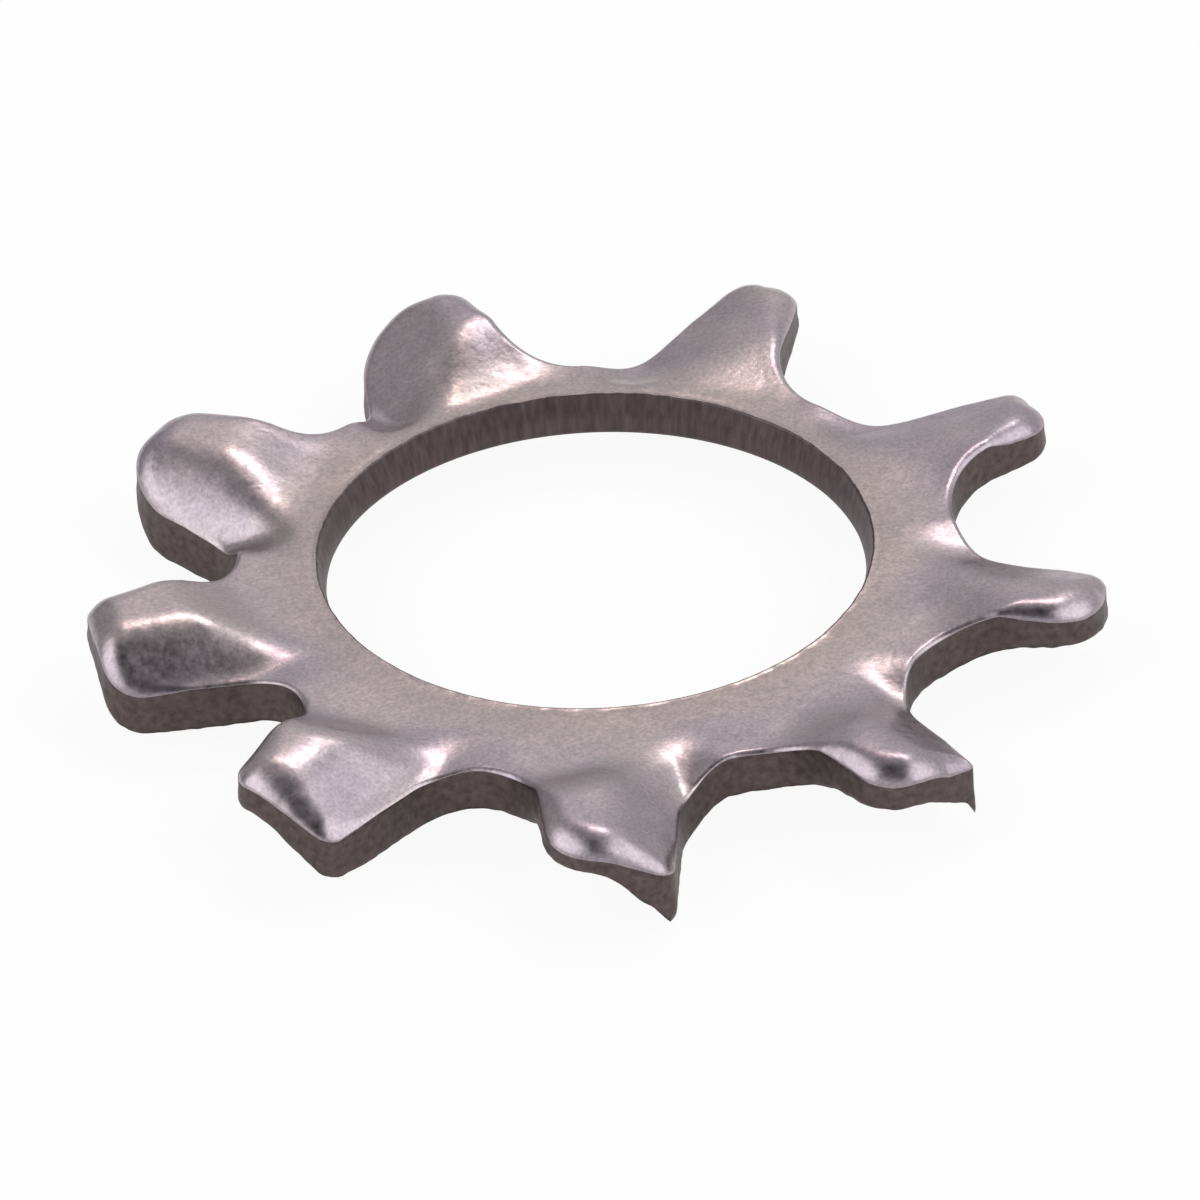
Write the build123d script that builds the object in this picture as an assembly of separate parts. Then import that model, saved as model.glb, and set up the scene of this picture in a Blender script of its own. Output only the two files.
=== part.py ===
"""External-tooth lock washer: one piece of sheet steel, pressed, blanked and pierced.

Frame: millimetres, +Z up along the bore's axis, origin at the middle of the bore.
The sheet is drawn first: flat in the middle, and pressed into a lazy S across every
tooth, one side up and the other side down. The toothed outline is then cut out of it.
"""
from build123d import *
from math import atan2, cos, degrees, hypot, pi, radians, sin, tan
import os

# ---- the blank, seen from above ----
bore_radius = 4.1            # clears an 8 mm screw
bore_offset_x = 0.02         # the bore is pierced this far off the centre of the tooth circle
bore_offset_y = 0.61
tooth_count = 9
first_tooth_angle = -9.2     # degrees from +X, counter-clockwise
tip_radius = 7.67            # tooth tips, from the centre of the tooth circle
root_radius = 5.52           # bottoms of the notches between the teeth
notch_radius = 1.19          # round bottom of a notch
flank_angle = 8.5            # degrees; a tooth narrows by this on each side
corner_radius = 0.38         # corners of a tooth's tip
sheet_thickness = 0.70

# ---- what the press does to a tooth ----
tooth_lift = 0.37            # one side goes up by this, the other side down
bend_half_width = 0.90       # the S spans this much on each side of the tooth's middle
root_bend_length = 0.55      # radial distance over which the lift builds up
notch_flat_angle = 8.0       # degrees; the lift fades within this of a notch's middle

# ---- rolled upper edges, where the punch drew the sheet down ----
edge_roll_radius = 0.20
bore_roll_radius = 0.13
most_roll_of_ring = 0.4      # neither roll takes more than this share of the ring where it is narrowest

# ---- how finely the pressed sheet is drawn ----
steps_across = 16            # across one tooth and its two half notches
steps_outwards = 14          # from the flat middle to beyond the tips
flat_margin = 0.35           # the flat middle ends this far inside the notches
trim_margin = 0.3            # the sheet reaches this far past the tips before it is cut

half_pitch = pi / tooth_count
flat_radius = root_radius - flat_margin
sheet_radius = tip_radius + trim_margin
trim_height = 2 * (sheet_thickness + tooth_lift)
narrowest_ring = root_radius - bore_radius - hypot(bore_offset_x, bore_offset_y)
on_the_line = 0.01           # a point this close to a circle lies on it
facing_up = 0.5              # least upward part of an upper face's normal
flare_turn = 75              # degrees; the bore's roll turns this far before it meets the upper face


def smooth_step(share):
    share = min(1, max(0, share))
    return share * share * (3 - 2 * share)


def pressed_point(radius, angle, height):
    """Where the press puts a point of the sheet, height above its middle, beside a tooth on +X."""
    x, y = radius * cos(angle), radius * sin(angle)
    fade = smooth_step((half_pitch - abs(angle)) / radians(notch_flat_angle))
    lift = tooth_lift * smooth_step((radius - root_radius) / root_bend_length) * fade
    turn = pi / 2 * min(1, max(-1, y / bend_half_width))
    slope = -lift * cos(turn) * pi / 2 / bend_half_width
    lean = hypot(1, slope)
    return (x, y - height * slope / lean, -lift * sin(turn) + height / lean)


def sheet_curves(height):
    """Curves across one tooth's stretch of the sheet, from the flat middle outwards."""
    curves = []
    ends = [Vector(sin(half_pitch), cos(half_pitch)), Vector(-sin(half_pitch), cos(half_pitch))]
    for step in range(steps_outwards + 1):
        radius = flat_radius + (sheet_radius - flat_radius) * step / steps_outwards
        angles = [half_pitch * (2 * place / steps_across - 1) for place in range(steps_across + 1)]
        points = [pressed_point(radius, angle, height) for angle in angles]
        curves.append(Edge.make_spline(points, tangents=ends, parameters=angles))
    return curves


def round_the_washer(shapes):
    angles = [first_tooth_angle + 360 * tooth / tooth_count for tooth in range(tooth_count)]
    return [shape.rotate(Axis.Z, angle) for angle in angles for shape in shapes]


def pressed_sheet():
    """A round of sheet, flat in the middle and pressed where the teeth will be."""
    upper = sheet_curves(sheet_thickness / 2)
    lower = sheet_curves(-sheet_thickness / 2)
    tooth_faces = [Face.make_surface_from_curves(upper[-1], lower[-1])]
    for curves in (upper, lower):
        tooth_faces += Shell.make_loft([Wire([curve]) for curve in curves]).faces()
    middles = [Face(Wire(round_the_washer([curves[0]]))) for curves in (upper, lower)]
    return Solid(Shell(middles + round_the_washer(tooth_faces)))


def notch():
    """The gap between two teeth, on +X: a round bottom that opens outwards between the flanks."""
    flank_turn = half_pitch + radians(flank_angle)
    distance = root_radius + notch_radius
    touch_x = distance - notch_radius * sin(flank_turn)
    touch_y = notch_radius * cos(flank_turn)
    reach = 2 * sheet_radius - touch_x
    open_y = touch_y + reach * tan(flank_turn)
    mouth = Polygon((touch_x, touch_y), (touch_x, -touch_y), (2 * sheet_radius, -open_y),
                    (2 * sheet_radius, open_y), align=None)
    return Pos(distance, 0) * Circle(notch_radius) + mouth


def blank():
    """The washer's outline as it is cut, before the bore is pierced."""
    notch_angle = first_tooth_angle + degrees(half_pitch)
    outline = Circle(tip_radius) - PolarLocations(0, tooth_count, notch_angle) * notch()
    tips = outline.vertices().filter_by(lambda vertex: hypot(vertex.X, vertex.Y) > tip_radius - on_the_line)
    outline = fillet(tips, corner_radius)
    return outline


def rolled_bore(roll):
    """What the bore takes out: a round hole whose upper rim flares by the roll."""
    rise = sheet_thickness / 2 - roll
    flare = roll / sin(radians(flare_turn))
    lip = Pos(bore_radius + flare, rise)
    arc = lip * CenterArc((0, 0), flare, 180, -flare_turn)
    rim = arc @ 1
    rest = Polyline(rim, (rim.X, trim_height), (0, trim_height), (0, -trim_height),
                    (bore_radius, -trim_height), arc @ 0)
    profile = Plane.XZ * make_face([arc, rest])
    return Pos(bore_offset_x, bore_offset_y) * revolve(profile, Axis.Z)


def outer_rims(washer):
    """The edges where the upper faces meet the outer walls, in order round the washer."""
    upper = washer.faces().filter_by(lambda face: face.normal_at().Z > facing_up)
    walls = washer.faces().filter_by(lambda face: abs(face.normal_at().Z) < on_the_line)
    return sorted(set(upper.edges()) & set(walls.edges()), key=turn_from_first_notch)


def turn_from_first_notch(edge):
    middle = edge.position_at(0.5)
    return (degrees(atan2(middle.Y, middle.X) + half_pitch) - first_tooth_angle) % 360


def lock_washer():
    widest_roll = most_roll_of_ring * narrowest_ring
    trimmed = pressed_sheet() & extrude(blank(), trim_height, both=True)
    rolled = fillet(outer_rims(trimmed), min(edge_roll_radius, widest_roll))
    pierced = rolled - rolled_bore(min(bore_roll_radius, widest_roll))
    return Pos(-bore_offset_x, -bore_offset_y) * pierced.solid()


washer = lock_washer()
os.makedirs("parts", exist_ok=True)
export_step(washer, "parts/lock_washer.step")
print("volume", round(washer.volume, 3), "valid", washer.is_valid)
print("size", washer.bounding_box().min, washer.bounding_box().max)
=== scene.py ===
"""An external-tooth lock washer of spring steel, modelled as one closed skin."""
# %% [markdown]
# # A toothed lock washer
#
# A small spring-steel ring with nine teeth round its outside. Each tooth is pressed so
# that one side stands up and the other hangs down. When a screw is driven home, the
# raised sides bite into its head and the low ones into the work.
#
# The CAD part is loaded first. It fixes the size, the place and the pose. Its nine teeth
# are alike, and here each one gets the small differences that a real one has.

# %% Load the part
import math
import bpy
import numpy as np
from mathutils import Matrix, Vector, geometry, kdtree, noise


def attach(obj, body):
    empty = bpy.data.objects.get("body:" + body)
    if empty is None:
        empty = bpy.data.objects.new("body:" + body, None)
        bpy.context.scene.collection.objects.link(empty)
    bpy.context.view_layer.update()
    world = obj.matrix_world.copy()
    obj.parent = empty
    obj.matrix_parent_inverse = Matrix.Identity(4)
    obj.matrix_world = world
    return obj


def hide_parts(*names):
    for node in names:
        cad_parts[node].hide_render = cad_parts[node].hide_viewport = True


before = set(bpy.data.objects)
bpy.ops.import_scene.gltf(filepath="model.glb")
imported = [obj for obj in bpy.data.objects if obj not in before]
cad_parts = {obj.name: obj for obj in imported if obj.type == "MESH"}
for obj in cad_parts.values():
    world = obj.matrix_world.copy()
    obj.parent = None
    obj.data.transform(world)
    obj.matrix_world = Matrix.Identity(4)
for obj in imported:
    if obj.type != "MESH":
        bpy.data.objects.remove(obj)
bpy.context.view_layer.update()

MM = 0.001

# %% [markdown]
# ## The plan of the washer
#
# The blank is one flat outline: round notches, straight flanks and a short arc at each
# tip. All lengths are written in millimetres and turned to metres only when the mesh is
# made. The bore isn't quite in the middle of the tooth circle, as on many cheap pressed
# washers, so the teeth are drawn about their own centre and moved into place at the end.

# %% Sizes that all the teeth share
TOOTH_COUNT = 9
PITCH = 2 * math.pi / TOOTH_COUNT
FIRST_TOOTH_TURN = math.radians(-9.2)
TOOTH_CIRCLE_CENTRE = np.array([-0.02, -0.61])   # the origin is the middle of the bore
BORE_RADIUS = 4.1
SHEET = 0.70                # thickness
print("degrees from tooth to tooth:", round(math.degrees(PITCH), 1))

# %% [markdown]
# ## Nine teeth, each a little different
#
# One punch makes all the teeth, yet no two come out alike. The sheet drags, the tool is
# worn and the washers knock about in a drum afterwards. Giving every tooth its own lift,
# reach and corners keeps the ring from looking copied round a circle.

# %% What makes one tooth differ from the next
# reach: radius of the tip
# raised, lowered: how far the two sides stand above and below the ring
# lean: degrees by which the raised part already falls towards the fold, or rises below zero
# fold: how far past the tooth's middle the sheet turns down, and how far the turn is spread
# swing: degrees by which the tip is pushed round, anticlockwise above zero
# flank: degrees by which a side narrows
# corner: radius of a corner of the tip, seen from above
# Of the two sides in flank and corner, the clockwise one comes first: it is the raised one.
TEETH = [
    dict(reach=7.78, raised=0.35, lowered=0.14, lean=6.6, fold=(-0.12, 0.3),
         swing=-0.2, flank=(4.6, 8.4), corner=(0.88, 0.37)),
    dict(reach=7.98, raised=0.25, lowered=0.20, lean=7.2, fold=(-0.15, 0.3),
         swing=-1.3, flank=(11.7, 8.1), corner=(0.77, 0.36)),
    dict(reach=8.19, raised=0.24, lowered=0.23, lean=5.9, fold=(-0.30, 0.4),
         swing=-0.8, flank=(11.1, 17.4), corner=(0.52, 0.59)),
    dict(reach=7.77, raised=0.47, lowered=0.35, lean=2.5, fold=(-0.24, 0.4),
         swing=-1.1, flank=(9.4, 10.7), corner=(0.48, 1.13)),
    dict(reach=7.84, raised=0.39, lowered=0.42, lean=2.2, fold=(0.20, 0.6),
         swing=-1.2, flank=(12.3, 5.2), corner=(0.59, 1.04)),
    dict(reach=7.75, raised=0.52, lowered=0.06, lean=1.8, fold=(0.20, 0.25),
         swing=0.6, flank=(5.1, 6.3), corner=(0.39, 0.66)),
    dict(reach=7.87, raised=0.64, lowered=0.08, lean=0.4, fold=(-0.15, 0.4),
         swing=0.9, flank=(6.9, 7.5), corner=(0.44, 0.33)),
    dict(reach=7.90, raised=0.52, lowered=0.28, lean=2.9, fold=(-0.09, 0.3),
         swing=0.1, flank=(2.3, 5.8), corner=(0.86, 0.37)),
    dict(reach=7.80, raised=0.45, lowered=0.21, lean=-1.9, fold=(-0.33, 0.3),
         swing=-1.2, flank=(4.7, 7.2), corner=(0.77, 0.12)),
]
# For the notch after each tooth: how far its bottom is from the middle, and its radius.
NOTCHES = [(5.59, 1.85), (5.57, 1.49), (5.70, 1.54), (5.72, 1.14), (5.49, 1.18),
           (5.36, 0.93), (5.39, 1.11), (5.40, 1.28), (5.47, 1.35)]
CLOCKWISE, ANTICLOCKWISE = 0, 1
print("mean reach of the teeth:", round(sum(tooth["reach"] for tooth in TEETH) / TOOTH_COUNT, 2))

# %% [markdown]
# ## The cut edge, drawn once
#
# The outline is drawn tooth by tooth in the tooth's own axes: x runs out along the
# tooth and y runs round the washer. Half a tooth is a tip arc, a corner arc, a straight
# flank and half a notch, and each meets the next without a kink. The other half is drawn
# the same way, from its own numbers, and turned over.
#
# Along the way, nine stations are noted on each tooth, from one notch to the next. Later
# the rolled edge is given its width and depth at these stations.

# %% The corner of a tip
def tip_corner(number, side):
    """Centre and turn of a tip's corner, where the flank below it ends, and the notch's centre."""
    tooth = TEETH[number]
    notch_bottom, notch_radius = NOTCHES[number if side == ANTICLOCKWISE else number - 1]
    flank, corner = math.radians(tooth["flank"][side]), tooth["corner"][side]
    notch_centre = (notch_bottom + notch_radius) * np.array([math.cos(PITCH / 2), math.sin(PITCH / 2)])
    outward = np.array([math.cos(flank), -math.sin(flank)])
    sideways = np.array([math.sin(flank), math.cos(flank)])
    flank_end = notch_centre - notch_radius * sideways
    # the corner's centre slides out beside the flank until its arc touches the tip's arc
    beside = flank_end - corner * sideways
    along = beside @ outward
    length = -along + math.sqrt(along ** 2 - beside @ beside + (tooth["reach"] - corner) ** 2)
    corner_centre = beside + length * outward
    return corner_centre, math.atan2(corner_centre[1], corner_centre[0]), flank_end, notch_centre


print("first corner at, in mm:", tip_corner(0, CLOCKWISE)[0].round(2))

# %% Draw half a tooth's outline
EDGE_STEP = 0.05            # spacing of the points along the cut edge
LEAST_STEPS = 4             # a small corner still gets this many
HALF_STATIONS = range(5)    # middle of the tip, corner, flank, flank's end, middle of the notch


def arc_points(centre, radius, start, end):
    count = max(LEAST_STEPS, round(abs(end - start) * radius / EDGE_STEP))
    turns = np.linspace(start, end, count + 1)
    return np.stack([centre[0] + radius * np.cos(turns), centre[1] + radius * np.sin(turns)], 1)


def half_outline(number, side):
    """Points from the tip's middle to the notch's middle, and a station for each of them."""
    reach, corner = TEETH[number]["reach"], TEETH[number]["corner"][side]
    corner_centre, corner_turn, flank_end, notch_centre = tip_corner(number, side)
    # the two halves meet midway between their corners
    tip_middle = (corner_turn - tip_corner(number, 1 - side)[1]) / 2
    side_turn = math.pi / 2 - math.radians(TEETH[number]["flank"][side])
    notch_radius = np.hypot(*(flank_end - notch_centre))
    tip = arc_points((0, 0), reach, tip_middle, corner_turn)
    bend = arc_points(corner_centre, corner, corner_turn, side_turn)
    length = np.hypot(*(flank_end - bend[-1]))
    steps = np.linspace(0, 1, max(LEAST_STEPS, round(length / EDGE_STEP)) + 1)[:, None]
    straight = bend[-1] + steps * (flank_end - bend[-1])
    notch = arc_points(notch_centre, notch_radius, math.pi + side_turn, math.pi + PITCH / 2)
    parts = [tip, bend[1:], straight[1:], notch[1:]]
    ends = np.cumsum([len(part) for part in parts]) - 1
    places = [0, (ends[0] + ends[1]) // 2, (ends[1] + ends[2]) // 2, ends[2], ends[3]]
    stations = np.interp(np.arange(ends[3] + 1), places, HALF_STATIONS)
    return np.concatenate(parts), stations


print("points on the first half tooth:", len(half_outline(0, CLOCKWISE)[0]))

# %% Join the nine outlines
SWING_LENGTH = 2.0          # the push round builds up over this length of a tooth


def smooth_step(share):
    share = np.clip(share, 0, 1)
    return share * share * (3 - 2 * share)


def turned(points, turn):
    cos, sin = np.cos(turn), np.sin(turn)
    x, y = points[:, 0], points[:, 1]
    return np.stack([x * cos - y * sin, x * sin + y * cos], 1)


edge_points, edge_tooth, edge_station = [], [], []
for number, tooth in enumerate(TEETH):
    clockwise, clockwise_stations = half_outline(number, CLOCKWISE)
    points, stations = half_outline(number, ANTICLOCKWISE)
    points = np.concatenate([clockwise[:0:-1] * [1, -1], points])[:-1]
    stations = np.concatenate([-clockwise_stations[:0:-1], stations])[:-1]
    pushed = smooth_step((np.hypot(*points.T) - NOTCHES[number][0]) / SWING_LENGTH)
    points = turned(points, math.radians(tooth["swing"]) * pushed)
    edge_points.append(turned(points, FIRST_TOOTH_TURN + number * PITCH))
    edge_tooth += [number] * len(points)
    edge_station.append(stations)
edge_points = np.concatenate(edge_points)
edge_station = np.concatenate(edge_station)
edge_tooth = np.array(edge_tooth)
edge_count = len(edge_points)
print("points along the cut edge:", edge_count)

# %% [markdown]
# ## How the sheet is bent
#
# Seen end on, the clockwise side of a tooth stands up like a small shelf. Past a soft fold
# the sheet slopes down, and near the tip it is still sloping where it is cut, so the other
# side hangs below the ring. Beside the notches a tooth is wider, and the sheet is level
# again before its cut edge. The low side starts to fall while still in the ring and the
# raised side rises a little further out, so each tooth looks melted into the ring.
#
# This could be sculpted by hand. Here the height is worked out at every point instead, so
# that the upper and the lower face bend as one sheet and each tooth can be tuned in numbers.

# %% A soft fold
def fold_down(across, fold, spread):
    """How far the sheet is down past a fold on to a slope of one, and its slope there."""
    past = (across - fold) / spread
    # a parabola from one spread before the fold to one after it, then straight on
    depth = np.where(past > 1, past, np.clip(past + 1, 0, None) ** 2 / 4)
    return spread * depth, np.clip((past + 1) / 2, 0, 1)


print("down and slope 1 mm past a fold:", [round(float(value), 2) for value in fold_down(1, 0, 0.3)])

# %% Height of the sheet's middle
# the bend builds up between these radii: less by the skew on the low side, more on the raised
BEND_START, START_SKEW = 4.85, 0.35
BEND_END, END_SKEW = 6.40, 0.45
FULL_SKEW = 1.0                         # the skew is whole this far from the tooth's middle
HALF_TOOTH = 0.95                       # raised and lowered are measured this far from the middle
LEVEL_AGAIN, LEVEL_SPREAD = 1.12, 0.35  # beside the notches, where the slope ends
RAISED_FADE, LOW_FADE = math.radians(11), math.radians(10.5)   # fades out towards a notch's middle
BORE_LAND, BORE_FADE = 0.26, 0.5        # flat beside the bore, and where the bend sets in again


def per_tooth(key, number):
    return np.array([tooth[key] for tooth in TEETH])[number]


def sheet_height(points):
    """Height of the sheet's middle at plan points, and its slope across the tooth."""
    turn = np.arctan2(points[:, 1], points[:, 0]) - FIRST_TOOTH_TURN
    number = np.round(turn / PITCH).astype(int) % TOOTH_COUNT
    local = turn - np.round(turn / PITCH) * PITCH
    radius = np.hypot(points[:, 0], points[:, 1])
    across = radius * np.sin(local)
    side = np.clip(across / FULL_SKEW, -1, 1)
    start, end = BEND_START - START_SKEW * side, BEND_END - END_SKEW * side
    fade = np.where(local < 0, RAISED_FADE, LOW_FADE)
    from_bore = np.hypot(*(points + TOOTH_CIRCLE_CENTRE).T) - BORE_RADIUS
    risen = smooth_step((radius - start) / (end - start)) * smooth_step((PITCH / 2 - abs(local)) / fade)
    risen *= smooth_step((from_bore - BORE_LAND) / BORE_FADE)
    raised, fold = per_tooth("raised", number), per_tooth("fold", number).T
    lean = np.tan(np.radians(per_tooth("lean", number)))
    fall = raised + per_tooth("lowered", number) - 2 * HALF_TOOTH * lean
    steepness = fall / fold_down(HALF_TOOTH, *fold)[0]
    folded, folding = np.subtract(fold_down(across, *fold), fold_down(across, LEVEL_AGAIN, LEVEL_SPREAD))
    height = raised - lean * (across + HALF_TOOTH) - steepness * folded
    return height * risen, -(lean + steepness * folding) * risen


edge_heights = sheet_height(edge_points)[0]
print("bent by, in mm:", edge_heights.min().round(2), "to", edge_heights.max().round(2))

# %% [markdown]
# ## The rolled edge
#
# A punch draws the sheet down before it cuts, so the upper edge ends in a soft round
# called the die roll. It is nearly as deep as half the sheet round a tip and its raised
# corner, where little metal holds the sheet back. In the notches and on the low flanks it
# is a thin bright line. The round turns only part of the way down and then breaks off
# into the sheared wall. A bevel would have one width all the way round, so the roll is
# worked out from the distance to the edge, with its own width and depth at every point.

# %% Width and depth of the roll along the edge
# notch, flank's end, flank, raised corner, tip, low corner, flank, flank's end, notch
ROLL_STATIONS = range(-4, 5)
ROLL_WIDTHS = [0.09, 0.16, 0.36, 0.56, 0.52, 0.24, 0.06, 0.07, 0.09]
ROLL_DEPTHS = [0.05, 0.09, 0.22, 0.33, 0.30, 0.12, 0.02, 0.03, 0.05]
ROLL_TURN = math.asin(0.9)              # how far the round turns before it breaks off
WIDE_TOOTH, WIDENING = 6, 0.35          # one tooth's roll is wider by this share
WIDE_STATIONS = 2                       # and is the usual width again this far from its tip

roll_width = np.interp(edge_station, ROLL_STATIONS, ROLL_WIDTHS)
roll_depth = np.interp(edge_station, ROLL_STATIONS, ROLL_DEPTHS)
widening = WIDENING * smooth_step(WIDE_STATIONS - abs(edge_station))
roll_width *= np.where(edge_tooth == WIDE_TOOTH, 1 + widening, 1)

edge_along = np.roll(edge_points, -1, axis=0) - np.roll(edge_points, 1, axis=0)
edge_inward = np.stack([-edge_along[:, 1], edge_along[:, 0]], 1)
edge_inward /= np.linalg.norm(edge_inward, axis=1)[:, None]
print("roll width:", roll_width.min().round(2), "to", roll_width.max().round(2), "mm")

# %% [markdown]
# ## A net over the plan
#
# The upper face needs small faces where it curves and can do with larger ones on the flat
# ring. Rows of points follow the cut edge, closest together at the edge itself, and an
# even net of points fills the rest. Blender's own triangulation joins them, and it
# keeps the edge and the bore as they are drawn.

# %% Rows of points along the edge
ROLL_ROWS = 9
LEAST_ROOM = 0.94           # a row loses points that lie nearer the edge than this share of its distance

edge_tree = kdtree.KDTree(edge_count)
for place, point in enumerate(edge_points):
    edge_tree.insert((point[0], point[1], 0), place)
edge_tree.balance()


def nearest_edge(points):
    """Distance to the cut edge for each plan point, and the edge point that is nearest."""
    found = [edge_tree.find((x, y, 0)) for x, y in points]
    return np.array([place[2] for place in found]), np.array([place[1] for place in found])


roll_rows = []
for row in range(1, ROLL_ROWS + 1):
    share = math.sin(ROLL_TURN * (1 - row / ROLL_ROWS)) / math.sin(ROLL_TURN)
    inside = roll_width * (1 - share)
    points = edge_points + inside[:, None] * edge_inward
    room, _ = nearest_edge(points)
    roll_rows.append(points[room > LEAST_ROOM * inside])
print("points in the rolled edge:", sum(len(row) for row in roll_rows))

# %% An even net over the rest
NET_STEP = 0.10
NET_REACH = 8.4             # the net is cut from a square that reaches this far
NET_CLEARANCE = 0.4         # and keeps this share of a step clear of the rolled edge
BORE_POINTS = 480

bore_centre = -TOOTH_CIRCLE_CENTRE
bore_turns = np.linspace(0, 2 * math.pi, BORE_POINTS, endpoint=False)
bore_ring = np.stack([np.cos(bore_turns), np.sin(bore_turns)], 1)
land_points = bore_centre + (BORE_RADIUS + BORE_LAND) * bore_ring


def inside_outline(points):
    """Even-odd count of the outline's crossings to the right of each point."""
    inside = np.zeros(len(points), bool)
    for (x0, y0), (x1, y1) in zip(edge_points, np.roll(edge_points, -1, axis=0)):
        if y1 != y0:
            crossing = (y0 > points[:, 1]) != (y1 > points[:, 1])
            inside ^= crossing & (points[:, 0] < x0 + (points[:, 1] - y0) * (x1 - x0) / (y1 - y0))
    return inside


columns = np.arange(-NET_REACH, NET_REACH, NET_STEP)
lines = np.arange(-NET_REACH, NET_REACH, NET_STEP * math.sqrt(0.75))   # even-sided triangles
net = np.array([(x + NET_STEP / 2 * (line % 2), y) for line, y in enumerate(lines) for x in columns])
net = net[np.hypot(*(net - bore_centre).T) > BORE_RADIUS + BORE_LAND + NET_STEP / 2]
net = net[inside_outline(net)]
room, nearest = nearest_edge(net)
net = net[room > roll_width[nearest] + NET_CLEARANCE * NET_STEP]
print("points in the even net:", len(net))

# %% Join them into faces
MERGE_WITHIN = 1e-6         # points closer than this become one
INSIDE_MARGIN = 0.001       # also drops the slivers between neighbouring points of the bore's ring


def ring_sides(start, count):
    return [(start + i, start + (i + 1) % count) for i in range(count)]


plan = np.concatenate([edge_points, land_points, *roll_rows, net])
rings = ring_sides(0, edge_count) + ring_sides(edge_count, BORE_POINTS)
corners, _, triangles, origins, _, _ = geometry.delaunay_2d_cdt(
    [Vector(point) for point in plan], rings, [], 0, MERGE_WITHIN)
plan = np.array([tuple(corner) for corner in corners])
faces = np.array(triangles)
centres = plan[faces].mean(1)
in_land = np.hypot(*(centres - bore_centre).T) < BORE_RADIUS + BORE_LAND + INSIDE_MARGIN
faces = faces[inside_outline(centres) & ~in_land]

new_place = {old: new for new, olds in enumerate(origins) for old in olds}
edge_ring = np.array([new_place[i] for i in range(edge_count)])
land_ring = np.array([new_place[edge_count + i] for i in range(BORE_POINTS)])
print("faces on the upper side:", len(faces))

# %% [markdown]
# ## Raising the net into the upper face
#
# Half the sheet's thickness goes above the bent middle. Near the edge the face then
# loses the die roll. The distance to the edge would make a hard crease wherever two parts
# of the edge are equally near, as on the diagonal of a corner. So distance, and the roll's
# width and depth, are means over the whole edge in which near places count far more.
#
# A faint unevenness is added at the end: tumbling in a drum leaves no truly flat
# or straight surface, and highlights on steel show it at once.

# %% Distance to the edge, softened
NEARNESS = 8                # how strongly near places of the edge count
# the softened distance is this many times the true one beside a straight edge
STRAIGHT = math.gamma(NEARNESS / 2 - 1) * math.gamma(NEARNESS / 2) / math.gamma(NEARNESS / 2 - 0.5) ** 2
TRUE_WITHIN, SOFT_FROM = 0.05, 0.15     # true up to the first, wholly softened from the second on
BEYOND_ROLL = 0.2           # points this far inside the widest roll need no soft distance
GROUPS = 40                 # the points are worked in groups, to save memory

room, nearest = nearest_edge(plan)
room[edge_ring] = 0
soft_room, width_here, depth_here = room.copy(), roll_width[nearest], roll_depth[nearest]
edge_share = np.hypot(*edge_along.T)     # how much of the edge each of its points stands for
beside_edge = np.flatnonzero((room > TRUE_WITHIN) & (room < roll_width.max() + BEYOND_ROLL))
for group in np.array_split(beside_edge, GROUPS):
    gap = np.hypot(*(plan[group, None] - edge_points[None]).transpose(2, 0, 1))
    weight = edge_share * (room[group, None] / gap) ** NEARNESS
    weight /= weight.sum(1)[:, None]
    softness = smooth_step((room[group] - TRUE_WITHIN) / (SOFT_FROM - TRUE_WITHIN))
    soft_room[group] += softness * ((weight * gap).sum(1) / STRAIGHT - room[group])
    width_here[group] += softness * (weight @ roll_width - width_here[group])
    depth_here[group] += softness * (weight @ roll_depth - depth_here[group])
into_roll = np.clip(1 - soft_room / width_here, 0, 1) * math.sin(ROLL_TURN)
roll_loss = depth_here * (1 - np.sqrt(1 - into_roll ** 2)) / (1 - math.cos(ROLL_TURN))
print("deepest roll in mm:", roll_loss.max().round(3))

# %% Heights of the upper face
WAVE_SIZE, WAVE_DEPTH = 1.1, 0.012      # long, shallow waves
DENT_SIZE, DENT_DEPTH = 0.35, 0.003     # small knocks from the drum
DRAWN_THICKENING = 0.5                  # share of the full thickening that a lean would give


def unevenness(points, size, layer):
    """Smooth noise at plan points, in blotches of this size. Each use takes its own layer."""
    return np.array([noise.noise(Vector((x / size, y / size, layer))) for x, y in points])


middle, slope = sheet_height(plan)
# a leaning sheet is thicker, measured straight up, but the press also draws it thinner
thickening = 1 + DRAWN_THICKENING * (np.hypot(1, slope) - 1)
upper = middle + SHEET / 2 * thickening - roll_loss
waves = WAVE_DEPTH * unevenness(plan, WAVE_SIZE, layer=1.5)
knocks = DENT_DEPTH * unevenness(plan, DENT_SIZE, layer=3.5)
upper += waves + knocks
print("highest point:", upper.max().round(3), "mm")

# %% [markdown]
# ## The lower face, its burr and three torn hooks
#
# The sheared wall ends in a thin burr at the lower edge. At the low corner of a few
# teeth the steel tore instead of shearing, and a little hook hangs down. One tip is also
# torn thin at its raised corner. These are built as real geometry, because they change
# the washer's silhouette.

# %% Burr, hooks and a torn tip along the edge
BURR_DEPTH, BURR_RAGGED, BURR_SIZE = 0.02, 0.02, 0.16
LOW_CORNER, RAISED_CORNER = 1, -1       # stations
HOOKS = {7: 0.17, 8: 0.20, 0: 0.10}     # tooth: how far its low corner hangs down
HOOK_WIDTH, HOOK_POINT = 0.42, 1.2      # in stations, and how sharply it runs to a point
TORN_THIN = {7: 0.18}                   # tooth: how much of its raised corner is missing
TORN_WIDTH = 1.5                        # in stations

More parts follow.
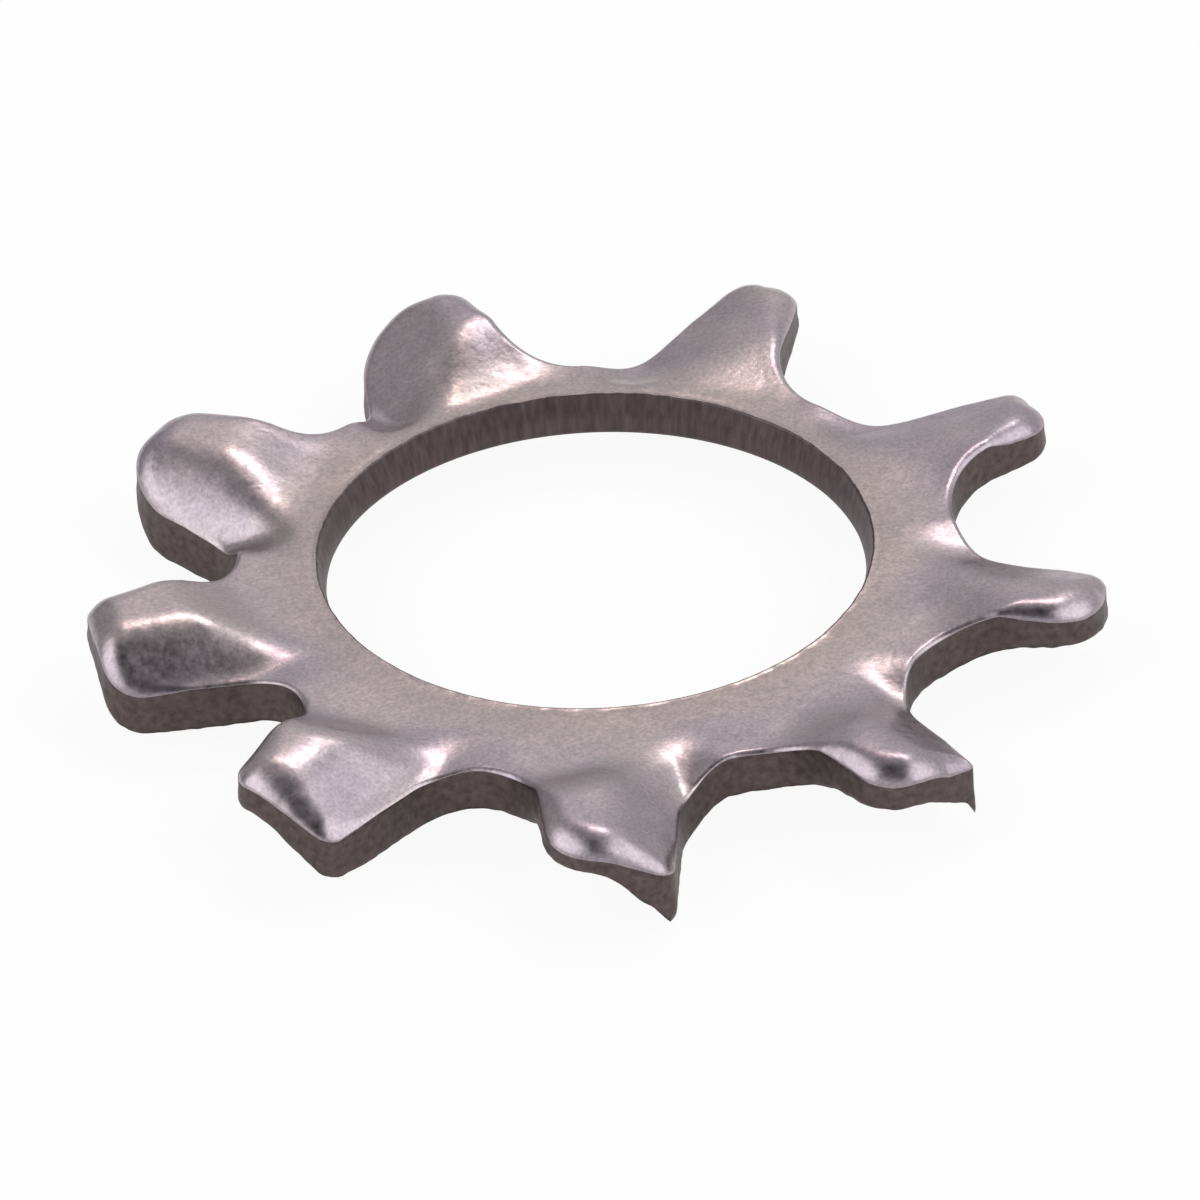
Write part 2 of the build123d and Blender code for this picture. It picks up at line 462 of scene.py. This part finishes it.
hook_depth, missing = np.zeros(edge_count), np.zeros(edge_count)
for number, depth in HOOKS.items():
    closeness = np.clip(1 - abs(edge_station - LOW_CORNER) / HOOK_WIDTH, 0, 1) ** HOOK_POINT
    hook_depth += np.where(edge_tooth == number, depth * closeness, 0)
for number, depth in TORN_THIN.items():
    closeness = smooth_step(TORN_WIDTH - abs(edge_station - RAISED_CORNER))
    missing += np.where(edge_tooth == number, depth * closeness, 0)
burr = BURR_DEPTH + BURR_RAGGED * unevenness(edge_points, BURR_SIZE, layer=7.5) + hook_depth
print("burr and hooks:", burr.min().round(3), "to", burr.max().round(3), "mm")

# %% Heights of the lower face
BURR_WIDTH = 0.07
TORN_REACH = 0.6            # how far into the tooth the torn part goes

near_burr = np.clip(1 - room / (BURR_WIDTH + hook_depth[nearest]), 0, 1)
lower = middle - SHEET / 2 * thickening + WAVE_DEPTH * unevenness(plan, WAVE_SIZE, layer=4.5)
lower += missing[nearest] * smooth_step(1 - room / TORN_REACH) - burr[nearest] * near_burr ** 2
print("lowest point:", lower.min().round(3), "mm")

# %% [markdown]
# ## The sheared wall
#
# Below the roll, the wall is smooth where the punch slid past and rough where the steel
# tore, so its lower part stands out a little and wanders. Bump in the material would leave
# the washer's silhouette straight, so a few rows of real points carry the tear.

# %% Rows of points down the wall
WALL_ROWS = 9
TORN_FROM, TORN_OVER = 0.4, 0.3         # where the tear starts and how soon it is whole, down the wall
TEAR_OUT = 0.014                        # the torn part stands out by this
SMOOTH_WANDER, TORN_WANDER = 0.003, 0.009
TEAR_SIZE, TEAR_CHANGE = 0.14, 2.2      # blotches along the edge, and how much they change on the way down

wall_rows = []
for row in range(1, WALL_ROWS):
    down = row / WALL_ROWS
    torn = smooth_step((down - TORN_FROM) / TORN_OVER)
    wander = unevenness(edge_points, TEAR_SIZE, layer=down * TEAR_CHANGE)
    outward = TEAR_OUT * torn + wander * (SMOOTH_WANDER + TORN_WANDER * torn)
    points = edge_points - outward[:, None] * edge_inward
    heights = upper[edge_ring] + (lower[edge_ring] - upper[edge_ring]) * down
    wall_rows.append(np.column_stack([points, heights]))
print("rows down the wall:", len(wall_rows))

# %% [markdown]
# ## The bore's rim
#
# The bore is pierced, so its upper rim carries a thin ragged lip that catches the light.
# Inside the lip the wall turns dark. It tapers a little on its way down, and its lower
# edge is rounded. The rim is the same all the way round, so one profile is carried round
# the bore, and a little noise makes its lip ragged.

# %% Carry the rim's profile round the bore
# distance outside the bore and height above the sheet's middle, in mm, down to the lower face
BORE_LIP = [(0.225, 0.350), (0.19, 0.351), (0.165, 0.354), (0.145, 0.357)]
BORE_WALL = [(0.130, 0.355), (0.120, 0.348), (0.112, 0.328), (0.103, 0.29), (0.082, 0.21),
             (0.055, 0.13), (0.025, 0.05), (0.006, -0.04), (0.0, -0.12), (0.0, -0.20),
             (0.02, -0.26), (0.055, -0.305), (0.10, -0.337), (0.16, -0.350)]
RAGGED_ABOVE, RAGGED_RISE = 0.10, 0.2       # the lip is ragged from this height up
RAGGED_WITHIN, RAGGED_EDGE = 0.21, 0.05     # and this near the bore
RAG_SIZE, FINE_RAG_SIZE, FINE_RAG_SHARE = 0.22, 0.07, 0.6
RAG_OUT, RAG_UP = 0.014, 0.008

bore_circle = bore_ring * BORE_RADIUS
wander = unevenness(bore_circle, RAG_SIZE, layer=2.5)
wander = wander + FINE_RAG_SHARE * unevenness(bore_circle, FINE_RAG_SIZE, layer=9.5)
bore_rows = []
for out, height in BORE_LIP + BORE_WALL:
    ragged = smooth_step((height - RAGGED_ABOVE) / RAGGED_RISE)
    ragged *= smooth_step((RAGGED_WITHIN - out) / RAGGED_EDGE)
    radius = BORE_RADIUS + out + RAG_OUT * ragged * wander
    points = bore_centre + radius[:, None] * bore_ring
    bore_rows.append(np.column_stack([points, height + RAG_UP * ragged * wander]))
print("rows down the bore:", len(bore_rows))

# %% [markdown]
# ## One closed mesh
#
# The faces, the wall and the rim are put together as a single closed skin. The order of a
# face's corners decides which way it looks, so the lower face is built the other way
# round.

# %% Gather the points
# the upper side's faces are all turned to look up
first, second, third = (plan[faces[:, i]] for i in range(3))
turning = np.cross(second - first, third - first)
faces[turning < 0] = faces[turning < 0][:, ::-1]

point_groups = [np.column_stack([plan, upper]), np.column_stack([plan, lower]), *wall_rows, *bore_rows]
upper_start, lower_start, *row_starts = np.cumsum([0] + [len(group) for group in point_groups[:-1]])
wall_starts, bore_starts = row_starts[:len(wall_rows)], row_starts[len(wall_rows):]
points = np.concatenate(point_groups)
points[:, :2] += TOOTH_CIRCLE_CENTRE
print("points:", len(points))

# %% Gather the faces
def band(rings):
    """Four-sided faces between rings of point numbers."""
    pairs = zip(rings, rings[1:])
    return np.concatenate([np.column_stack([a, b, np.roll(b, -1), np.roll(a, -1)]) for a, b in pairs])


wall_rings = [start + np.arange(edge_count) for start in wall_starts]
wall_faces = band([upper_start + edge_ring, *wall_rings, lower_start + edge_ring])
bore_rings = [start + np.arange(BORE_POINTS) for start in bore_starts]
bore_rings = [upper_start + land_ring, *bore_rings, lower_start + land_ring]
lip_faces = band(bore_rings[:len(BORE_LIP) + 1])[:, ::-1]
bore_faces = band(bore_rings[len(BORE_LIP):])[:, ::-1]
face_groups = [faces, lower_start + faces[:, ::-1], lip_faces, wall_faces, bore_faces]
print("faces:", sum(len(group) for group in face_groups))

# %% Make the mesh
TUMBLED, SHEARED, PIERCED = 0, 1, 2
FINISHES = [TUMBLED, TUMBLED, TUMBLED, SHEARED, PIERCED]    # one for each group of faces

mesh = bpy.data.meshes.new("lock_washer_steel")
mesh.from_pydata((points * MM).tolist(), [], [face.tolist() for group in face_groups for face in group])
mesh.polygons.foreach_set("use_smooth", np.ones(len(mesh.polygons), bool))
finish_of_face = np.repeat(FINISHES, [len(group) for group in face_groups])
mesh.polygons.foreach_set("material_index", finish_of_face.astype(np.int32))
washer = bpy.data.objects.new("washer", mesh)
bpy.context.collection.objects.link(washer)
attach(washer, "root")
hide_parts("lock_washer")
print("piece:", washer.name)

# %% [markdown]
# ## Colours and a helper for nodes
#
# Colours are written as hex values, as a paint chart gives them, and one function turns
# them to the linear numbers that Blender works in. One helper adds a node, sets its
# values and links its inputs.

# %% Colour and node helpers
def linear(hex_colour):
    values = [int(hex_colour[i:i + 2], 16) / 255 for i in (0, 2, 4)]
    return tuple(v / 12.92 if v <= 0.04045 else ((v + 0.055) / 1.055) ** 2.4 for v in values) + (1,)


def add_node(owner, kind, settings=None, values=None, links=None):
    node = owner.node_tree.nodes.new(kind)
    for name, value in (settings or {}).items():
        setattr(node, name, value)
    for name, value in (values or {}).items():
        node.inputs[name].default_value = value
    for name, source in (links or {}).items():
        owner.node_tree.links.new(source, node.inputs[name])
    return node


def scale_for(size_mm):
    """A noise texture's scale that gives blotches of this size."""
    return 1 / (size_mm * MM)


def empty(owner):
    owner.use_nodes = True
    owner.node_tree.nodes.clear()
    return owner


SOFT, TIMES = {"interpolation_type": "SMOOTHSTEP"}, {"operation": "MULTIPLY"}
print("a mid grey, 808080, is", round(linear("808080")[0], 3), "in linear light")

# %% [markdown]
# ## Tumbled spring steel
#
# The upper and lower faces are rolled sheet that was hardened and then tumbled in a drum
# to take off the sharp burrs. That gives a dull, even grey with a fine grain and a faint
# lilac oxide tint that turns browner near the bore. It is bare metal, so all its
# reflection is coloured by the base colour. The drum's grit is about a twentieth of a
# millimetre, and softer dents of three times that size break up the highlights. Each size
# of mark has its own noise pattern, which needs no unwrapping and looks right from all sides.

# %% Material: tumbled spring steel, its colour
CLOUDS, GRIT, DENTS = 1.4, 0.055, 0.16      # sizes of the patterns, in mm
CLOUD_COLOURS = {0.35: "a69ca3", 0.65: "b8adad"}    # by place on the ramp
WARM_COLOUR, WARM_SHARE = "b0a39c", 0.55    # the browner tint, and how much of it at the bore
WARM_RADIUS, COOL_RADIUS = 4.2, 5.4         # the tint fades between these
NOISE_LOW, NOISE_HIGH = 0.3, 0.7            # nearly all of a noise texture lies between these
GRIT_DARK, GRIT_LIGHT = 0.83, 1.13          # the grain multiplies the colour by these

tumbled = empty(bpy.data.materials.new("tumbled_spring_steel"))
place = add_node(tumbled, "ShaderNodeTexCoord").outputs["Object"]
cloud, grain, dents = (
    add_node(tumbled, "ShaderNodeTexNoise", values={"Scale": scale_for(size), "Detail": detail},
             links={"Vector": place})
    for size, detail in ((CLOUDS, 3), (GRIT, 2), (DENTS, 1)))

tone = add_node(tumbled, "ShaderNodeValToRGB", links={"Fac": cloud.outputs["Fac"]})
for end, (position, colour) in zip(tone.color_ramp.elements, CLOUD_COLOURS.items()):
    end.position = position
    end.color = linear(colour)

flat_place = add_node(tumbled, "ShaderNodeVectorMath", TIMES, {1: (1, 1, 0)}, {0: place})
from_axis = add_node(tumbled, "ShaderNodeVectorMath", {"operation": "LENGTH"},
                     links={0: flat_place.outputs["Vector"]})
near_bore = add_node(tumbled, "ShaderNodeMapRange", SOFT,
                     {"From Min": WARM_RADIUS * MM, "From Max": COOL_RADIUS * MM,
                      "To Min": WARM_SHARE, "To Max": 0.0},
                     {"Value": from_axis.outputs["Value"]})
# of a Mix node's sockets, 6 and 7 are its colours, and its output 2 is the mixed colour
warmed = add_node(tumbled, "ShaderNodeMix", {"data_type": "RGBA"}, {7: linear(WARM_COLOUR)},
                  {0: near_bore.outputs["Result"], 6: tone.outputs["Color"]})
grain_tone = add_node(tumbled, "ShaderNodeMapRange",
                      values={"From Min": NOISE_LOW, "From Max": NOISE_HIGH,
                              "To Min": GRIT_DARK, "To Max": GRIT_LIGHT},
                      links={"Value": grain.outputs["Fac"]})
grained = add_node(tumbled, "ShaderNodeVectorMath", {"operation": "SCALE"},
                   links={"Vector": warmed.outputs[2], "Scale": grain_tone.outputs["Result"]})
print("nodes for the colour:", len(tumbled.node_tree.nodes))

# %% Material: tumbled spring steel, its gloss and relief
SMOOTHEST, DULLEST = 0.27, 0.36             # roughness
DENT_RELIEF, GRIT_RELIEF = 0.0040, 0.0012   # in mm

dulling = add_node(tumbled, "ShaderNodeMapRange",
                   values={"From Min": NOISE_LOW, "From Max": NOISE_HIGH,
                           "To Min": SMOOTHEST, "To Max": DULLEST},
                   links={"Value": dents.outputs["Fac"]})
relief = add_node(tumbled, "ShaderNodeBump", values={"Strength": 1.0, "Distance": DENT_RELIEF * MM},
                  links={"Height": dents.outputs["Fac"]})
fine_relief = add_node(tumbled, "ShaderNodeBump", values={"Strength": 1.0, "Distance": GRIT_RELIEF * MM},
                       links={"Height": grain.outputs["Fac"], "Normal": relief.outputs["Normal"]})
skin = add_node(tumbled, "ShaderNodeBsdfPrincipled", values={"Metallic": 1.0},
                links={"Base Color": grained.outputs["Vector"], "Roughness": dulling.outputs["Result"],
                       "Normal": fine_relief.outputs["Normal"]})
add_node(tumbled, "ShaderNodeOutputMaterial", links={"Surface": skin.outputs["BSDF"]})
print("finish:", tumbled.name)

# %% [markdown]
# ## Sheared and pierced steel
#
# The cut walls were never rolled smooth. The punch smeared and tore them, and the drum's
# grit hardly reaches in, so they stay dull, with soft mottling. The outer walls' dark grey
# brown is partly the torn steel's own tone and partly painted shade, standing for the darker
# table that they mirror. In the bore the punch also left faint upright streaks: the same
# mottling, stretched upwards.

# %% Material: steel as it was cut
def cut_steel(name, blotch, detail, flattening, colours, relief_depth, roughness):
    """Bare steel, mottled in blotches of this many mm. Flattening below 1 makes them upright streaks."""
    steel = empty(bpy.data.materials.new(name))
    place = add_node(steel, "ShaderNodeTexCoord").outputs["Object"]
    stretched = add_node(steel, "ShaderNodeVectorMath", TIMES, {1: (1, 1, flattening)}, {0: place})
    mottling = add_node(steel, "ShaderNodeTexNoise", values={"Scale": scale_for(blotch), "Detail": detail},
                        links={"Vector": stretched.outputs["Vector"]})
    tone = add_node(steel, "ShaderNodeValToRGB", links={"Fac": mottling.outputs["Fac"]})
    for end, (position, colour) in zip(tone.color_ramp.elements, colours.items()):
        end.position = position
        end.color = linear(colour)
    relief = add_node(steel, "ShaderNodeBump", values={"Strength": 1.0, "Distance": relief_depth * MM},
                      links={"Height": mottling.outputs["Fac"]})
    skin = add_node(steel, "ShaderNodeBsdfPrincipled", values={"Metallic": 1.0, "Roughness": roughness},
                    links={"Base Color": tone.outputs["Color"], "Normal": relief.outputs["Normal"]})
    add_node(steel, "ShaderNodeOutputMaterial", links={"Surface": skin.outputs["BSDF"]})
    return steel


# the outer walls' dark colours are partly painted shade, for the darker table that they mirror
sheared_and_shaded = cut_steel("sheared_spring_steel_and_painted_shade", blotch=0.12, detail=4, flattening=1,
                    colours={0.30: "554b4a", 0.70: "6e6361"}, relief_depth=0.008, roughness=0.48)
pierced = cut_steel("pierced_spring_steel", blotch=0.10, detail=3, flattening=0.12,
                    colours={0.30: "54494a", 0.70: "6c6061"}, relief_depth=0.005, roughness=0.45)
for material in (tumbled, sheared_and_shaded, pierced):
    mesh.materials.append(material)
print("finishes:", [material.name for material in mesh.materials])

# %% [markdown]
# ## The table
#
# The washer lies on white card. The card is partly its own light, but only for the
# camera and for reflections, so it reads as white and still shows a soft shadow.

# %% The table
TABLE_SIZE = 1.0                        # in metres
CAMERA_GLOW, MIRROR_GLOW = 0.92, 0.45   # share of the card that reads as plain white

lowest = float(points[:, 2].min()) * MM
bpy.ops.mesh.primitive_plane_add(size=TABLE_SIZE, location=(0, 0, lowest))
table = bpy.context.object
table.name = "table"
card = empty(bpy.data.materials.new("white_card"))
ray = add_node(card, "ShaderNodeLightPath")
paper = add_node(card, "ShaderNodeBsdfDiffuse", values={"Color": linear("f6f4f4")})
glow = add_node(card, "ShaderNodeEmission", values={"Color": linear("ffffff"), "Strength": 1.0})
seen = add_node(card, "ShaderNodeMath", TIMES, {1: CAMERA_GLOW}, {0: ray.outputs["Is Camera Ray"]})
share = add_node(card, "ShaderNodeMath", {"operation": "MULTIPLY_ADD"}, {1: MIRROR_GLOW},
                 {0: ray.outputs["Is Glossy Ray"], 2: seen.outputs["Value"]})
mixed = add_node(card, "ShaderNodeMixShader",
                 links={"Fac": share.outputs["Value"], 1: paper.outputs["BSDF"],
                        2: glow.outputs["Emission"]})
add_node(card, "ShaderNodeOutputMaterial", links={"Surface": mixed.outputs["Shader"]})
table.data.materials.append(card)
print("table at", round(lowest / MM, 2), "mm")

# %% [markdown]
# ## The room and its lamps
#
# Bare metal shows what is round it, so the room matters as much as the lamps. It is a
# pale tent of cloth, a little dimmer at the horizon and darker right overhead. It has a
# wide bright side on the left and on the right. Between them, high up towards the front,
# the tent is open and dark, and its back left corner lies in grey shade. Two small lamps
# hang near each other, behind the washer and above it. A picture of a studio would do as
# well, but in a room made of a few soft stretches each one can be tuned alone.

# %% The room's directions
room = empty(bpy.data.worlds.new("pale_tent"))
bpy.context.scene.world = room
towards = add_node(room, "ShaderNodeTexCoord").outputs["Generated"]
axes = add_node(room, "ShaderNodeSeparateXYZ", links={"Vector": towards}).outputs
# the two bright sides are alike, so left is folded on to right and they are drawn once
sideways = add_node(room, "ShaderNodeMath", {"operation": "ABSOLUTE"}, links={0: axes["X"]}).outputs[0]
mirrored = add_node(room, "ShaderNodeCombineXYZ", links={"X": sideways, "Y": axes["Y"], "Z": axes["Z"]})
print("room:", room.name)

# %% Stretches of the room
# What each is measured along, where it has faded out and where it is full. A direction
# has a length of one, so these are the shares of it that go sideways, back or up.
STRETCHES = {
    "between the sides": (sideways, 0.46, 0.26),
    "front": (axes["Y"], 0.10, -0.20),
    "high": (axes["Z"], 0.56, 0.72),
    "below the top": (axes["Z"], 0.92, 0.82),
    "left": (axes["X"], -0.10, -0.42),
    "back": (axes["Y"], 0.10, 0.40),
}
within = {}
for name, (along, faded, full) in STRETCHES.items():
    stretch = add_node(room, "ShaderNodeMapRange", SOFT, {"From Min": faded, "From Max": full},
                       {"Value": along})
    within[name] = stretch.outputs[0]
print("stretches:", list(within))

# %% The tent and its open front
HORIZON_LIGHT, ROOM_LIGHT, OVERHEAD_LIGHT, GAP_LIGHT = 0.60, 0.80, 0.35, 0.05
HORIZON, ROOM_LIT_FROM = 0.0, 0.5           # shares of a direction that go up, as above
DIM_FROM, OVERHEAD_FROM = 0.82, 0.92

tent = add_node(room, "ShaderNodeMapRange", SOFT,
                {"From Min": HORIZON, "From Max": ROOM_LIT_FROM,
                 "To Min": HORIZON_LIGHT, "To Max": ROOM_LIGHT},
                {"Value": axes["Z"]})
overhead = add_node(room, "ShaderNodeMapRange", SOFT,
                    {"From Min": DIM_FROM, "From Max": OVERHEAD_FROM,
                     "To Min": 1.0, "To Max": OVERHEAD_LIGHT / ROOM_LIGHT},
                    {"Value": axes["Z"]})
dimmed = add_node(room, "ShaderNodeMath", TIMES, None, {0: tent.outputs[0], 1: overhead.outputs[0]})
open_front = add_node(room, "ShaderNodeMath", TIMES, None,
                      {0: within["between the sides"], 1: within["front"]})
open_high = add_node(room, "ShaderNodeMath", TIMES, None, {0: open_front.outputs[0], 1: within["high"]})
gap = add_node(room, "ShaderNodeMapRange", values={"To Min": 1.0, "To Max": GAP_LIGHT},
               links={"Value": open_high.outputs[0]})
open_tent = add_node(room, "ShaderNodeMath", TIMES, None, {0: dimmed.outputs[0], 1: gap.outputs[0]})
print("nodes for the tent:", len(room.node_tree.nodes))

# %% The bright sides
SIDE_LIGHT = 1.2
SIDE_TOWARDS = Vector((0.76, -0.13, 0.63)).normalized()
SIDE_EDGE, SIDE_FULL = math.radians(36), math.radians(18)   # turned away from that direction

to_side = add_node(room, "ShaderNodeVectorMath", {"operation": "DOT_PRODUCT"}, {1: SIDE_TOWARDS},
                   {0: mirrored.outputs[0]})
side = add_node(room, "ShaderNodeMapRange", SOFT,
                {"From Min": math.cos(SIDE_EDGE), "From Max": math.cos(SIDE_FULL), "To Max": SIDE_LIGHT},
                {"Value": to_side.outputs["Value"]})
sides = add_node(room, "ShaderNodeMath", TIMES, None, {0: side.outputs[0], 1: within["below the top"]})
lit = add_node(room, "ShaderNodeMath", {"operation": "ADD"}, None,
               {0: open_tent.outputs[0], 1: sides.outputs[0]})
print("nodes with the sides:", len(room.node_tree.nodes))

# %% The grey corner
CORNER_SHADE = 0.45

corner = add_node(room, "ShaderNodeMath", TIMES, None, {0: within["left"], 1: within["back"]})
shade = add_node(room, "ShaderNodeMapRange", values={"To Min": 1.0, "To Max": 1 - CORNER_SHADE},
                 links={"Value": corner.outputs[0]})
strength = add_node(room, "ShaderNodeMath", TIMES, None, {0: lit.outputs[0], 1: shade.outputs[0]})
print("nodes with the corner:", len(room.node_tree.nodes))

# %% Put the room together
cloth = add_node(room, "ShaderNodeBackground", values={"Color": linear("fcfbff")},
                 links={"Strength": strength.outputs[0]})
backdrop = add_node(room, "ShaderNodeBackground", values={"Color": linear("ffffff"), "Strength": 1.0})
ray = add_node(room, "ShaderNodeLightPath")
shown = add_node(room, "ShaderNodeMixShader",
                 links={"Fac": ray.outputs["Is Camera Ray"], 1: cloth.outputs["Background"],
                        2: backdrop.outputs["Background"]})
add_node(room, "ShaderNodeOutputWorld", links={"Surface": shown.outputs["Shader"]})
print("nodes in the whole room:", len(room.node_tree.nodes))

# %% The lamps
LAMP_SIZE = 0.06                        # in metres, like the places


def lamp(name, place, watts, colour):
    """A round lamp that shines at the origin."""
    light = bpy.data.lights.new(name, "AREA")
    light.shape = "DISK"
    light.size = LAMP_SIZE
    light.energy = watts
    light.color = linear(colour)[:3]
    made = bpy.data.objects.new(name, light)
    made.location = place
    made.rotation_euler = (-Vector(place)).to_track_quat("-Z", "Y").to_euler()
    bpy.context.collection.objects.link(made)
    print(name, "at", place)


lamp("left_lamp", (0.03, 0.30, 0.45), 0.20, "ffe9e4")
lamp("right_lamp", (0.15, 0.28, 0.43), 0.27, "fffafa")

# %% [markdown]
# ## The camera
#
# A long lens from far away, about a third of the way up from the table, and turned a
# little about its own axis. How many picture points a millimetre takes sets the distance.

# %% The camera
ELEVATION, ROLL = math.radians(34.35), math.radians(-2.745)
PICTURE_PIXELS, PIXELS_PER_MM = 1200, 65.98
CENTRE_PIXEL = (595.70, 591.72)         # where the middle of the tooth circle is seen
LENS = 900
NEAREST, FARTHEST = 0.01, 10            # what the camera can see, in metres

camera = bpy.data.cameras.new("camera")
camera.lens = LENS
camera.clip_start, camera.clip_end = NEAREST, FARTHEST
distance = PICTURE_PIXELS / PIXELS_PER_MM * MM * camera.lens / camera.sensor_width
back = Vector((0, -math.cos(ELEVATION), math.sin(ELEVATION)))
level, steep = Vector((1, 0, 0)), back.cross(Vector((1, 0, 0)))
seen_right = level * math.cos(ROLL) + steep * math.sin(ROLL)
seen_up = steep * math.cos(ROLL) - level * math.sin(ROLL)
aim = Vector((*TOOTH_CIRCLE_CENTRE, 0))
aim += seen_right * (PICTURE_PIXELS / 2 - CENTRE_PIXEL[0]) / PIXELS_PER_MM
aim -= seen_up * (PICTURE_PIXELS / 2 - CENTRE_PIXEL[1]) / PIXELS_PER_MM
viewer = bpy.data.objects.new("camera", camera)
turn = Matrix((seen_right, seen_up, back)).transposed().to_4x4()
viewer.matrix_world = Matrix.Translation(aim * MM + back * distance) @ turn
bpy.context.collection.objects.link(viewer)
bpy.context.scene.camera = viewer
bpy.context.scene.view_settings.view_transform = "Standard"
print("camera at", [round(value, 3) for value in viewer.location])

# %% The end
bpy.context.view_layer.update()
